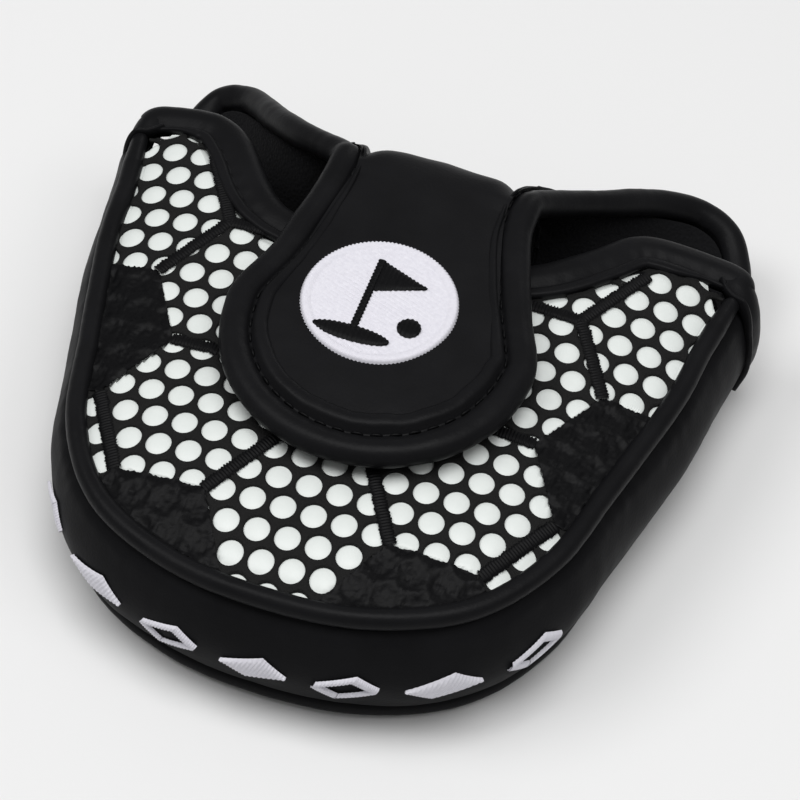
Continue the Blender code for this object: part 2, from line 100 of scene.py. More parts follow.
# Gusset and piping
WALL_LOW, WALL_HIGH, WALL_OUT, WALL_BULGE = 4.9, 28.2, 4.6, 3.2
WALL_ROWS = 60
WELT_RADIUS, WELT_OFFSET, WELT_POINTS = 2.05, 2.4, 420
FRONT_WELT_Z, BACK_WELT_Z, WELT_TRIM = 30.6, 2.5, 0.2
END_POINTS, END_SHARE, END_DROP = 12, 0.8, 0.3
MOTIFS, MOTIF_PITCH, MOTIF_LONG, MOTIF_HIGH, MOTIF_Z = 7, 15.7, 12, 7.6, 15.5
MOTIF_SLANT, MOTIF_LIFT, MOTIF_RIDGE = 0.45, 0.12, 0.1
FRAME_POINTS, FRAME_HALF, FRAME_RISE, SOLID_RISE, SOLID_ROWS = 44, 0.95, 0.6, 0.75, 34

# Padded edges: half width of the roll, its half height, its groove, and the band beside it
ROLL, ROLL_HIGH = 2.9, 2.75  # round the flap and the back panel
FRONT_ROLL, FRONT_HIGH = 3.4, 2.6  # along the front's mouth
ROLL_ANGLES = np.radians(np.arange(-150, 126, 12.5))
SHOULDER, ROLL_WALL, SHOULDER_HIGH = 0.78, 0.9, 0.72
GROOVE_WIDTH, GROOVE_STEP = 0.5, 0.25
BAND_PROFILE = ((0.12, 0.75), (0.35, 1), (0.75, 1), (0.93, 0.85), (1, 0.35))
BAND_UNDER, INNER_UNDER = 0.5, 1.1
FLAP_GROOVE, FRONT_GROOVE = 1.0, 1.3
SEAM_IN, FLAP_SEAM, FRONT_SEAM = 0.2, 1.4, 1.65
STITCH_PITCH, STITCH_LENGTH, STITCH_RADIUS, STITCH_DIP = 3.6, 2.6, 0.3, 0.28
STITCH_TAPER = np.array([0.35, 0.85, 1, 1, 1, 0.85, 0.35])
STITCH_ENDS = np.array([1, 0.4, 0, 0, 0, 0.4, 1])
STITCH_SIDES, STITCH_STEPS = 8, 12

# The front edge's route over the right ear and down the gusset's end, and which way is up along it
EAR = np.array([(59.4, 50.4, 29.2), (62.4, 48.3, 28.4), (64.6, 46.8, 25.2), (65.6, 46.3, 20),
                (65.6, 46.2, 13.5), (64, 46.4, 7.2)])
EAR_UP = np.array([(0.1, 0, 1), (0.45, 0, 0.9), (0.85, 0, 0.5), (1, 0, 0.12), (1, 0, -0.05), (1, 0, -0.25)])
LEFT_EAR_IN = np.array([(0, 0, 0), (0.5, 0, 0), (1.3, 0, 0), (1.9, 0, 0), (2.1, 0, 0), (2.0, 0, 0)])
EDGE_DEPTH, DRAPE_GAP, DRAPE_DROP = 2.5, 0.3, 2.15

# Fold, flap and back panel
FLAT_END, FLAT_STOP = 30, 2.5
HINGE_Y = 41
FLAP_MID, FLAP_Y, FLAP_RADIUS, ROOT_HALF = 39.2, 4, 30.5, 21.5
FLAP_UPPER, FLAP_LOWER, FLAP_PUFF, LINING_PUFF, PUFF_INSET, PUFF_FALL = 2.2, -2.4, 1.35, -0.3, 6.2, 7
ROOT_GAP, FLAP_SHIFT, SHIFT_START, SHIFT_LENGTH = 0.6, 2.0, 3, 30
LEATHER_INSET, LINING_INSET, LINING_DEPTH, LINING_THICK = 7.9, 4.6, 4.0, 0.8
FOLD_COLUMNS, RIM_COLUMNS, RISER_ROWS, FLAP_ROWS = 16, 56, 64, 70
EAR_TURN, FOLD_TURN, TURN_FALL = 20, 160, 12.5
FOLD_DIP, DIP_FALL = 26, 6  # degrees by which the leather dives under the fold's ends
LOW_PULL, LOW_FALL, HIGH_PULL, HIGH_FALL = 31, 17, 20, 8
RIM_DROP, RIM_GAP = 2.2, 0.05

# Width and length of each sheet as cut
MESH_CUT, FRONT_CUT = (121, 108), (120, 108)
WALL_CUT, BACK_CUT = (264, 30), (120, 92)

# Badge
BADGE_Y, BADGE_RADIUS, BADGE_TOP, BADGE_RINGS, BADGE_SIDES = 9.5, 15.2, FLAP_MID + 3.75, 60, 240
RIM_START, RIM_RISE, EDGE_START, EDGE_DROP = 0.86, 0.35, 0.965, 0.9
FILL_RISE, FILL_PITCH, FILL_SLANT = 0.09, 0.85, (0.34, 0.94)
RADIAL_RISE, EDGE_JAG, JAG_START = 0.07, 0.006, 0.95
MARK_GAP, MARK_RISE, MARK_RIDGE, MARK_JAG, MARK_SIDES = 0.12, 0.38, 0.08, 0.12, 9
POLE_LEFT, POLE_RIGHT, POLE_BOTTOM, POLE_TOP = -3.3, -1.9, -8.2, 9.6
PENNANT_LOW, PENNANT_HIGH = [(-1.9, 1.9), (7.7, 5.6)], [(-1.9, 9.5), (7.7, 5.9)]
CUP, CUP_HALF = (-2.6, -9.4), (7.6, 1.9)
DOT, DOT_HALF = (7.4, -4.6), (2.3, 2.3)

# Colours in linear light
LEATHER = (0.0055, 0.0055, 0.006), (0.0095, 0.0095, 0.0105)
BINDING = (0.005, 0.005, 0.0055), (0.009, 0.009, 0.01)
PLUSH = (0.003, 0.003, 0.0035), (0.007, 0.007, 0.008)
KNIT = (0.004, 0.004, 0.004), (0.012, 0.012, 0.012)
BLACK_THREAD = (0.0015, 0.0015, 0.002), (0.006, 0.006, 0.0065)
WHITE_THREAD = (0.60, 0.59, 0.65), (0.76, 0.75, 0.80)
PALE = (0.66, 0.695, 0.675), (0.74, 0.77, 0.75)
CORD = (0.01, 0.01, 0.01), (0.02, 0.02, 0.02)
STEEL = (0.5, 0.5, 0.52), (0.66, 0.67, 0.69)
MIX_FIRST, MIX_SECOND, MIX_RESULT = 6, 7, 2  # sockets of a colour mix


# ---- camera, light and floor

def place_camera():
    """A long lens, turned to the side, high above the floor and slightly rolled."""
    yaw, height, roll = math.radians(YAW), math.radians(PITCH), math.radians(TILT)
    back = Vector((math.sin(yaw) * math.cos(height), -math.cos(yaw) * math.cos(height), math.sin(height)))
    right = Vector((math.cos(yaw), math.sin(yaw), 0))
    up = back.cross(right)
    turned_right = right * math.cos(roll) + up * math.sin(roll)
    turned_up = up * math.cos(roll) - right * math.sin(roll)
    place = (Vector(AIM) + back * DISTANCE) * MM
    data = bpy.data.cameras.new("camera")
    data.lens = LENS
    data.sensor_width = SENSOR
    camera = linked("camera", data)
    matrix = camera.matrix_world.copy()
    for row in range(3):
        matrix[row] = (turned_right[row], turned_up[row], back[row], place[row])
    camera.matrix_world = matrix
    bpy.context.scene.camera = camera


def linked(name, data):
    obj = bpy.data.objects.new(name, data)
    bpy.context.scene.collection.objects.link(obj)
    return obj


def area_light(name, place, target, size, power):
    data = bpy.data.lights.new(name, 'AREA')
    data.shape = 'DISK'
    data.size = size
    data.energy = power
    light = linked(name, data)
    light.location = place
    light.rotation_euler = (Vector(target) - Vector(place)).to_track_quat('-Z', 'Y').to_euler()


def light_stage():
    for values in LIGHTS:
        area_light(*values)
    bpy.context.scene.view_settings.view_transform = 'Standard'
    world = bpy.data.worlds.new("studio")
    world.use_nodes = True
    world.node_tree.nodes["Background"].inputs["Color"].default_value = (1, 1, 1, 1)
    world.node_tree.nodes["Background"].inputs["Strength"].default_value = WORLD_STRENGTH
    bpy.context.scene.world = world


def floor():
    mesh = bpy.data.meshes.new("floor")
    corners = [(x * FLOOR_HALF, y * FLOOR_HALF, 0) for x, y in ((-1, -1), (1, -1), (1, 1), (-1, 1))]
    mesh.from_pydata(corners, [], [(0, 1, 2, 3)])
    obj = linked("floor", mesh)
    obj.location.z = -FLOOR_DROP
    colour = (FLOOR_GREY, FLOOR_GREY, FLOOR_GREY, 1)
    mesh.materials.append(new_material("floor_white", {"Base Color": colour, "Roughness": 0.95})[0])


# ---- materials

def put(node, values):
    for key, value in values.items():
        node.inputs[key].default_value = value


def new_material(name, values):
    material = bpy.data.materials.new(name)
    material.use_nodes = True
    shader = material.node_tree.nodes["Principled BSDF"]
    put(shader, values)
    return material, material.node_tree, shader


def texture(tree, kind, values):
    coords = tree.nodes.new("ShaderNodeTexCoord")
    node = tree.nodes.new(kind)
    tree.links.new(coords.outputs["Object"], node.inputs["Vector"])
    put(node, values)
    return node


def dyed(name, colours, noise_values, values):
    """A material whose colour wanders between two with a noise, and that noise."""
    material, tree, shader = new_material(name, values)
    cloud = texture(tree, "ShaderNodeTexNoise", noise_values).outputs["Fac"]
    node = tree.nodes.new("ShaderNodeMix")
    node.data_type = 'RGBA'
    tree.links.new(cloud, node.inputs[0])
    put(node, {MIX_FIRST: (*colours[0], 1), MIX_SECOND: (*colours[1], 1)})
    tree.links.new(node.outputs[MIX_RESULT], shader.inputs["Base Color"])
    return material, tree, shader, cloud


def polish(tree, shader, source, low, high):
    """Roughness that spreads the middle of a noise's range over low to high."""
    node = tree.nodes.new("ShaderNodeMapRange")
    put(node, {"From Min": 0.3, "From Max": 0.7, "To Min": low, "To Max": high})
    tree.links.new(source, node.inputs["Value"])
    tree.links.new(node.outputs[0], shader.inputs["Roughness"])


def add_bump(tree, shader, source, strength, height, before=None):
    """Bump of a height in millimetres, on top of an earlier one if there is one."""
    node = tree.nodes.new("ShaderNodeBump")
    put(node, {"Strength": strength, "Distance": height * MM})
    tree.links.new(source, node.inputs["Height"])
    if before:
        tree.links.new(before, node.inputs["Normal"])
    tree.links.new(node.outputs[0], shader.inputs["Normal"])
    return node.outputs[0]


def leather(name, colours, rough, gloss):
    """Satin synthetic leather: fine pebble grain, soft creases and slightly uneven polish."""
    values = {"Specular IOR Level": gloss}
    material, tree, shader, cloud = dyed(name, colours, {"Scale": 90, "Detail": 4}, values)
    polish(tree, shader, cloud, *rough)
    grain = texture(tree, "ShaderNodeTexVoronoi", {"Scale": 1700})
    pebbled = add_bump(tree, shader, grain.outputs["Distance"], strength=0.35, height=0.06)
    crease = texture(tree, "ShaderNodeTexNoise", {"Scale": 420, "Detail": 6, "Roughness": 0.6})
    add_bump(tree, shader, crease.outputs["Fac"], strength=0.4, height=0.12, before=pebbled)
    return material


def cloth(name, colours, scale, roughness, bump):
    """Knitted or woven cloth: crossed ribs with uneven yarn."""
    values = {"Roughness": roughness, "Specular IOR Level": 0.15, "Sheen Weight": 0.02,
              "Sheen Roughness": 0.4}
    material, tree, shader, _ = dyed(name, colours, {"Scale": scale, "Detail": 3}, values)
    knit = texture(tree, "ShaderNodeTexVoronoi", {"Scale": scale})
    add_bump(tree, shader, knit.outputs["Distance"], strength=0.7, height=bump)
    return material


def thread(name, colours, roughness, gloss):
    """Embroidery thread: a soft sheen with fine twist."""
    values = {"Roughness": roughness, "Specular IOR Level": gloss}
    material, tree, shader, cloud = dyed(name, colours, {"Scale": 1500, "Detail": 3}, values)
    add_bump(tree, shader, cloud, strength=0.4, height=0.08)
    return material


def backing(name):
    """Pale satin synthetic leather behind the mesh."""
    material, tree, shader, cloud = dyed(name, PALE, {"Scale": 300, "Detail": 3}, {"Roughness": 0.42})
    add_bump(tree, shader, cloud, strength=0.15, height=0.1)
    return material


def steel(name):
    """Plated steel with a slightly uneven polish."""
    material, tree, shader, cloud = dyed(name, STEEL, {"Scale": 800, "Detail": 4}, {"Metallic": 1})
    polish(tree, shader, cloud, 0.25, 0.4)
    return material


# ---- lines and grids

def spaced(line, count):
    """The same line as count points at equal spacing."""
    steps = reach_along(line)
    at = np.linspace(0, steps[-1], count)
    return np.stack([np.interp(at, steps, line[:, k]) for k in range(line.shape[1])], 1)


def reach_along(line):
    """Distance along a line from its start to each of its points."""
    return np.r_[0, np.cumsum(np.linalg.norm(np.diff(line, axis=0), axis=1))]


def curve(points, count):
    """Catmull-Rom curve through the points, as count points at equal spacing."""
    p = np.array(points, float)
    p = np.vstack([2 * p[0] - p[1], p, 2 * p[-1] - p[-2]])
    t = np.linspace(0, 1, CURVE_STEPS, endpoint=False)[:, None]
    parts = []
    for a, b, c, d in zip(p, p[1:], p[2:], p[3:]):
        parts.append(0.5 * (2 * b + (c - a) * t + (2 * a - 5 * b + 4 * c - d) * t * t
                            + (3 * b - a - 3 * c + d) * t ** 3))
    return spaced(np.vstack([*parts, p[-2:-1]]), count)


def swapped(line):
    """A line mirrored from one side to the other, so that it still runs from left to right."""
    return line[::-1] * ([-1] + [1] * (line.shape[1] - 1))


def joined(left, right):
    """A line from the left end to the right end of two halves that share their middle point."""
    return np.vstack([swapped(np.array(left, float))[:-1], np.array(right, float)])


def tangents(line):
    t = np.gradient(line, axis=0)
    return t / np.linalg.norm(t, axis=1)[:, None]


def offset(line, distance):
    """A plan line moved to its right-hand side."""
    t = tangents(line)
    return line + np.stack([t[:, 1], -t[:, 0]], 1) * distance


def outline(count):
    return curve(joined(HALF_OUTLINE, HALF_OUTLINE), count)


OUTLINE = outline(301)
MOUTH = curve(joined(LEFT_MOUTH, RIGHT_MOUTH), 301)
PANEL = np.vstack([offset(OUTLINE, PANEL_EDGE), offset(MOUTH, MOUTH_EDGE)[::-1]])
BACK_FLAT = OUTLINE[OUTLINE[:, 1] < FLAT_END - FLAT_STOP]


def line_distance(line, points, batch=4000):
    """Shortest plan distance from each point to a line, and the point on it."""
    a, b = line[:-1], line[1:]
    side = b - a
    long = (side ** 2).sum(1)
    best = np.full(len(points), np.inf)
    near = np.zeros((len(points), 2))
    for k in range(0, len(points), batch):
        p = points[k:k + batch, None, :]
        t = np.clip(((p - a) * side).sum(2) / long, 0, 1)
        foot = a + side * t[..., None]
        d = np.linalg.norm(p - foot, axis=2)
        i = d.argmin(1)
        rows = np.arange(len(i))
        best[k:k + batch] = d[rows, i]
        near[k:k + batch] = foot[rows, i]
    return best, near


def inside_distance(loop, points):
    """Signed plan distance to a closed loop, positive inside."""
    closed = np.vstack([loop, loop[:1]])
    distance, _ = line_distance(closed, points)
    a, b = closed[:-1], closed[1:]
    x, y = points[:, :1], points[:, 1:]
    tiny = 1e-9
    rise = np.where(np.abs(b[:, 1] - a[:, 1]) < tiny, tiny, b[:, 1] - a[:, 1])
    cross = ((a[:, 1] > y) != (b[:, 1] > y)) & (x < (b[:, 0] - a[:, 0]) * (y - a[:, 1]) / rise + a[:, 0])
    return np.where(cross.sum(1) % 2 == 1, distance, -distance)


def front_height(xy):
    """Top of the front panel: pulled down along the outline and crowned inside it."""
    flat = xy.reshape(-1, 2)
    distance, _ = line_distance(OUTLINE, flat)
    z = FRONT_Z + CROWN * (1 - np.exp(-distance / CROWN_FALL))
    wave = np.sin(flat[:, 0] / SWELL_X + 1) * np.cos(flat[:, 1] / SWELL_Y)
    z += PANEL_SWELL * wave * np.clip(distance / SWELL_INSET, 0, 1)
    return z.reshape(xy.shape[:-1])


def near_mouth(xy):
    """1 under the band along the front's mouth, falling to 0 further in."""
    distance = line_distance(MOUTH, xy.reshape(-1, 2))[0].reshape(xy.shape[:-1])
    return 1 - np.clip((distance - TUCK_START) / TUCK_FALL, 0, 1)


def ruled(lower, upper, rows):
    t = np.linspace(0, 1, rows)[:, None, None]
    return lower[None] * (1 - t) + upper[None] * t


def grid_normals(grid):
    across = np.gradient(grid, axis=1)
    along = np.gradient(grid, axis=0)
    n = np.cross(across, along)
    return n / np.maximum(np.linalg.norm(n, axis=2), 1e-9)[..., None]


def random_at(points):
    return np.array([noise.noise(Vector(p)) for p in points])


def uneven(points, size, height, seed=0):
    """Smooth random swell of the given size across points in space."""
    flat = points.reshape(-1, 3) / size + seed
    return (random_at(flat) * height).reshape(points.shape[:-1])


def eased(values, passes):
    """Values along a line smoothed, with both ends kept."""
    values = values.copy()
    for _ in range(passes):
        values[1:-1] = (values[:-2] + 2 * values[1:-1] + values[2:]) / 4
    return values


def smooth_step(share):
    return share ** 2 * (3 - 2 * share)


def paired(count):
    """0, 0, 1, 1 and so on: pairs of rows that stand out by turns, as stitches do."""
    return np.arange(count) // 2 % 2


# ---- objects

def add_mesh(name, verts, faces, material):
    mesh = bpy.data.meshes.new(name)
    mesh.from_pydata((np.asarray(verts, float) * MM).tolist(), [], [tuple(f) for f in faces])
    mesh.validate()
    mesh.update()
    mesh.shade_smooth()
    mesh.materials.append(material)
    return linked(name, mesh)


def grid_faces(rows, columns, start=0, wrap=False):
    faces = []
    for j in range(rows - 1):
        for i in range(columns if wrap else columns - 1):
            a, b = start + j * columns + i, start + j * columns + (i + 1) % columns
            faces.append((a, b, b + columns, a + columns))
    return faces


def thicken(obj, thickness):
    """Make an open sheet a closed one, measured against its normals."""
    shell = obj.modifiers.new("thickness", 'SOLIDIFY')
    shell.thickness = thickness * MM
    shell.offset = -1


def add_grids(name, grids, material, thickness=0):
    """One object of quad sheets, closed if they have a thickness."""
    verts, faces = [], []
    for grid in grids:
        faces += grid_faces(*grid.shape[:2], start=sum(len(v) for v in verts))
        verts.append(grid.reshape(-1, 3))
    obj = add_mesh(name, np.vstack(verts), faces, material)
    if thickness:
        thicken(obj, thickness)
    return obj


def sweep(path, up, section):
    """Rings of a section, u outward and v along up, set along a path. Outward is to the path's right."""
    t = tangents(path)
    u = np.cross(t, up)
    u /= np.linalg.norm(u, axis=1)[:, None]
    v = np.cross(u, t)
    if section.ndim == 2:
        section = np.broadcast_to(section, (len(path), *section.shape))
    return path[:, None] + u[:, None] * section[..., :1] + v[:, None] * section[..., 1:]


def dome(ring, before, angles=(0.5, 1.0, 1.4), length=0.6):
    """Rings that close a tube's end, and its tip."""
    centre = ring.mean(0)
    push = centre - before.mean(0)
    push = push / np.linalg.norm(push)
    size = np.linalg.norm(ring - centre, axis=1).min()
    rings = [centre + (ring - centre) * math.cos(a) + push * size * math.sin(a) * length for a in angles]
    return rings, centre + push * size * length


def add_sweep(name, rings, material, flip=False):
    """A closed tube from rings, with domed ends."""
    sides = rings.shape[1]
    first_rings, first_tip = dome(rings[0], rings[1])
    last_rings, last_tip = dome(rings[-1], rings[-2])
    stack = [*first_rings[::-1], *rings, *last_rings]
    verts = np.vstack([*stack, first_tip[None], last_tip[None]])
    rows = len(stack)
    faces = grid_faces(rows, sides, wrap=True)
    first, last = rows * sides, rows * sides + 1
    faces += [((i + 1) % sides, i, first) for i in range(sides)]
    base = (rows - 1) * sides
    faces += [(base + i, base + (i + 1) % sides, last) for i in range(sides)]
    if flip:
        faces = [f[::-1] for f in faces]
    return add_mesh(name, verts, faces, material)


def circle(radius, sides):
    a = np.linspace(0, 2 * np.pi, sides, endpoint=False)
    return np.stack([np.cos(a) * radius, np.sin(a) * radius], 1)


def ride(obj, body, slot, *nodes):
    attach(obj, body)
    if nodes:
        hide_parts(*nodes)
    return obj


def fold(obj, slot, *nodes):
    """A piece that runs from the pouch over the fold to the flap: its modifiers and placement are baked into
    its mesh, and the CAD parts it stands in for are hidden.
    """
    bake(obj)
    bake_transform(obj)
    if nodes:
        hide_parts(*nodes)


def bake(obj):
    """Turn an object's modifiers into its final mesh."""
    if not obj.modifiers:
        return
    graph = bpy.context.evaluated_depsgraph_get()
    mesh = bpy.data.meshes.new_from_object(obj.evaluated_get(graph))
    obj.modifiers.clear()
    obj.data = mesh
    mesh.shade_smooth()


# ---- front panel

def hexagon(centre, side):
    a = np.radians(60 * np.arange(6))
    return np.stack([centre[0] + side * np.cos(a), centre[1] + side * np.sin(a)], 1)


def hex_centre(column, row):
    return np.array([1.5 * HEX_SIDE * column, HEX_Y + math.sqrt(3) * HEX_SIDE * (row + (column % 2) / 2)])


DARK_HEXES = [(-1, -1), (1, -1), (-2, 1), (2, 1)]
LIGHT_HEXES = [(c, r) for c in range(-2, 3) for r in range(3) if (c, r) not in DARK_HEXES]


def hole_offset(xy):
    """Each point's place within its own cell of the mesh's staggered rows of holes."""
    row = np.round((xy[..., 1] - HOLE_Y) / HOLE_ROW)
    shift = np.where(row % 2 == 0, 0, HOLE_STEP / 2)
    dx = (xy[..., 0] - shift + HOLE_STEP / 2) % HOLE_STEP - HOLE_STEP / 2
    dy = xy[..., 1] - HOLE_Y - row * HOLE_ROW
    return dx, dy


def mesh_cell():
    """Rings of one staggered cell: from the hole's lower lip, over its rounded edge, to the cell's border."""
    half, top, side = HOLE_STEP / 2, HOLE_ROW / 2 + CELL_POINT, HOLE_ROW / 2 - CELL_POINT
    corner = math.atan2(side, half)
    corners = [corner, math.pi - corner, math.pi + corner, 2 * math.pi - corner]
    a = np.sort(np.r_[np.linspace(0, 2 * np.pi, HOLE_SIDES, endpoint=False), corners])
    hole = np.stack([np.cos(a), np.sin(a) * HOLE_STRETCH], 1) * HOLE_RADIUS
    ring = np.array([(0, top), (-half, side), (-half, -side), (0, -top), (half, -side), (half, side),
                     (0, top)])
    border = spaced_by_angle(ring, a)
    shoulder = hole * (1 - CELL_SHARE) + border * CELL_SHARE
    return [(hole, LIP_LOW), (hole, LIP_MIDDLE), (hole * LIP_ROUND, LIP_TOP), (shoulder, CELL_TOP),
            (border, CELL_BORDER)]


def spaced_by_angle(ring, angles, slack=1e-6):
    """Where rays at the given angles leave a convex ring."""
    out = []
    for angle in angles:
        ray = np.array([math.cos(angle), math.sin(angle)])
        found = []
        for a, b in zip(ring, ring[1:]):
            side = b - a
            base = ray[0] * side[1] - ray[1] * side[0]
            if abs(base) < 1e-9:
                continue
            reach = (a[0] * side[1] - a[1] * side[0]) / base
            share = (a[0] * ray[1] - a[1] * ray[0]) / base
            if reach > 0 and -slack <= share <= 1 + slack:
                found.append(reach)
        out.append(ray * min(found))
    return np.array(out)


def clip(loop, xy, faces):
    """Drop faces outside a loop and pull the corners of those that cross it onto it."""
    inside = inside_distance(loop, xy)
    keep = [f for f in faces if max(inside[list(f)]) > 0]
    out = inside < 0
    moved = xy.copy()
    if out.any():
        moved[out] = line_distance(np.vstack([loop, loop[:1]]), xy[out])[1]
    used = np.unique(np.array([v for f in keep for v in f]))
    index = np.full(len(xy), -1)
    index[used] = np.arange(len(used))
    return moved[used], [tuple(index[list(f)]) for f in keep], used


def front_mesh(material):
    rings = mesh_cell()
    sides = len(rings[0][0])
    xy, lift, faces = [], [], []
    for row in CELL_ROWS:
        y = HOLE_Y + row * HOLE_ROW
        for column in CELL_COLUMNS:
            x = column * HOLE_STEP + (0 if row % 2 == 0 else HOLE_STEP / 2)
            if inside_distance(PANEL, np.array([[x, y]]))[0] < -CELL_REACH:
                continue
            start = len(xy) * sides
            for ring, height in rings:
                xy.append(ring + (x, y))
                lift.append(np.full(sides, height))
            faces += [f[::-1] for f in grid_faces(len(rings), sides, start, wrap=True)]
    place, faces, used = clip(PANEL, np.vstack(xy), faces)
    z = front_height(place) + np.hstack(lift)[used] - MESH_TUCK * near_mouth(place)
    obj = add_mesh("front_mesh_overlay", np.column_stack([place, z]), faces, material)
    weld = obj.modifiers.new("weld", 'WELD')
    weld.merge_threshold = 0.02 * MM
    ride(obj, "pouch", "black_mesh", "front_mesh")


def front_backing(material, rows=190, end_columns=5):
    """Pale backing that domes up into each hole and lies flat under the dark hexagons."""
    grid = ruled(offset(OUTLINE, PANEL_EDGE), offset(MOUTH, BACKING_EDGE), rows)
    grid = grid[:, end_columns:-end_columns]
    dx, dy = hole_offset(grid)
    dome_share = np.clip(1 - (dx ** 2 + dy ** 2) / HOLE_RADIUS ** 2, 0, 1)
    covered = np.zeros(grid.shape[:2], bool)
    for cell in DARK_HEXES:
        loop = hexagon(hex_centre(*cell), HEX_SIDE)
        covered |= (inside_distance(loop, grid.reshape(-1, 2)) > 0).reshape(covered.shape)
    rise = np.where(covered, BACKING_FLAT, BACKING_DOME * dome_share ** 0.7)
    z = front_height(grid) - BACKING_DEPTH + rise - BACKING_TUCK * near_mouth(grid)
    obj = add_grids("front_backing", [np.dstack([grid, z])], material, thickness=1.0)
    ride(obj, "pouch", "pale_backing", "front_base_panel", "front_foam")


def stitched_patch(loop, spacing=0.42):
    """A fine grid over a loop, clipped to the loop and to the front panel."""
    low, high = loop.min(0) - 1, loop.max(0) + 1
    xs, ys = np.arange(low[0], high[0], spacing), np.arange(low[1], high[1], spacing)
    grid = np.stack(np.meshgrid(xs, ys), -1)
    xy, faces, _ = clip(loop, grid.reshape(-1, 2), grid_faces(len(ys), len(xs)))
    xy, faces, _ = clip(PANEL, xy, faces)
    return xy, faces


def ragged(loop, seed, step=0.55, reach=0.3, jitter=0.12):
    """A loop whose edge steps in and out like the ends of stitches."""
    points = []
    rng = np.random.default_rng(seed)
    for a, b in zip(loop, np.roll(loop, -1, axis=0)):
        count = max(2, int(np.linalg.norm(b - a) / step))
        normal = np.array([(b - a)[1], -(b - a)[0]]) / np.linalg.norm(b - a)
        for k in range(count):
            points.append(a + (b - a) * k / count + normal * (reach * (k % 2) + rng.uniform(-jitter, jitter)))
    return np.array(points)


def grain(xy, across, down, layer):
    """Random value at each plan point, closer together the larger the scale on each axis."""
    return random_at([(x * across, y * down, layer) for x, y in xy])


def dark_patches(material):
    """Embroidered black hexagons: raised thread that still shows the mesh's holes as dimples."""
    for number, cell in enumerate(DARK_HEXES, 1):
        xy, faces = stitched_patch(ragged(hexagon(hex_centre(*cell), HEX_SIDE - HEX_INSET), seed=number))
        dimple = np.clip(DIMPLE_REACH - np.hypot(*hole_offset(xy)) / HOLE_RADIUS, 0, DIMPLE_LIMIT)
        nap = grain(xy, 2.2, 0.5, number)
        fleck = grain(xy, 3.1, 3.3, number + 9)
        z = front_height(xy) + PATCH_RISE - dimple * DIMPLE_DEPTH + nap * PATCH_NAP + fleck * PATCH_FLECK
        obj = add_mesh(f"dark_hexagon_{number}", np.column_stack([xy, z]), faces, material)
        ride(obj, "pouch", "black_patch", f"front_dark_patch_{number}")


def satin_band(middle, across, number):
    """Grid of one band of satin stitch in plan, and its rise: rows along it, points from side to side."""
    along = np.array([-across[1], across[0]])
    reach = HEX_SIDE / 2 + BAND_OVERRUN
    rows = np.arange(-reach, reach, BAND_ROW)
    side = np.linspace(-1, 1, BAND_SIDES)
    half = BAND_HALF + 0.22 * random_at([(r * 2.3, number, 5) for r in rows]) + 0.16 * paired(len(rows))
    lean = 0.25 * random_at([(r * 0.9, number, 11) for r in rows])
    sideways = side * half[:, None] + lean[:, None]
    place = middle + along * rows[:, None, None] + across * sideways[..., None]
    rise = BAND_RISE * np.sqrt(1 - side ** 2)[None] + BAND_RIDGE * paired(len(rows))[:, None]
    return place, rise


def satin_bands(material):
    """Black satin stitch along each edge that two light hexagons share."""
    count = 0
    for cell in LIGHT_HEXES:
        for other in LIGHT_HEXES:
            a, b = hex_centre(*cell), hex_centre(*other)
            if other <= cell or np.linalg.norm(b - a) > 1.9 * HEX_SIDE:
                continue
            place, rise = satin_band((a + b) / 2, (b - a) / np.linalg.norm(b - a), count)
            flat = place.reshape(-1, 2)
            if (inside_distance(PANEL, flat) > 0).mean() < BAND_LEAST:
                continue
            xy, faces, used = clip(PANEL, flat, grid_faces(*rise.shape))
            z = front_height(xy) + BAND_GAP + rise.reshape(-1)[used]
            count += 1
            obj = add_mesh(f"satin_band_{count}", np.column_stack([xy, z]), faces, material)
            ride(obj, "pouch", "black_thread")


# ---- bindings

def binding_section(roll, height, groove, band_top, band_end):
    """Padded roll, stitch groove and flat band. u points outward, v up; the band ends at band_end."""
    points = [(roll * math.cos(a), height * math.sin(a)) for a in ROLL_ANGLES]
    shoulder = height * SHOULDER_HIGH
    start, low = -roll - GROOVE_WIDTH, groove + GROOVE_STEP
    width = band_end - start
    points += [(-roll * SHOULDER, shoulder), (-roll * ROLL_WALL, (shoulder + groove) / 2),
               (-roll, groove), (start, low)]
    points += [(start + width * share, low + (band_top - low) * level) for share, level in BAND_PROFILE]
    points += [(start + width * 0.9, groove - BAND_UNDER), (-roll * ROLL_WALL, groove - INNER_UNDER)]
    return np.array(points)


def between(first, second, shares):
    """Sections that pass from the first to the second."""
    return first[None] * (1 - shares[:, None, None]) + second[None] * shares[:, None, None]


def puckered(sections, path, depth=0.06):
    """Stitches pull the groove down and the roll swells and wrinkles between them."""
    strength = 0.6 + 1.2 * random_at(path / 9.0)
    wave = np.cos(reach_along(path) / STITCH_PITCH * 2 * np.pi) * strength
    sections = np.array(sections)
    near = np.exp(-((sections[:, :, 0] + 2.6) / 1.2) ** 2) * np.sign(sections[:, :, 1] + 0.4)
    sections[:, :, 1] += depth * wave[:, None] * near
    swell = 1 + 0.045 * random_at(path / 7.0) + 0.02 * random_at(path / 2.4 + 7)
    return sections * swell[:, None, None]


def welt_line(z, trim=0.0):
    """Middle line of the piping round the outline, short of the ears by trim."""
    plan = offset(outline(601), WELT_OFFSET)
    reach = reach_along(plan)
    plan = plan[(reach > trim) & (reach < reach[-1] - trim)]
    return np.column_stack([plan, np.full(len(plan), z)])


def drape(xy):
    """Height that the front binding's band lies on: the panel, and the piping where it crosses it."""
    flat = xy.reshape(-1, 2)
    z = front_height(flat) + DRAPE_GAP
    away, _ = line_distance(welt_line(0)[::4, :2], flat)
    round_top = FRONT_WELT_Z + np.sqrt(np.clip((WELT_RADIUS + DRAPE_GAP) ** 2 - away ** 2, 0, None))
    z = np.where(away < WELT_RADIUS + 0.2, np.maximum(z, round_top), z)
    return z.reshape(xy.shape[:-1])


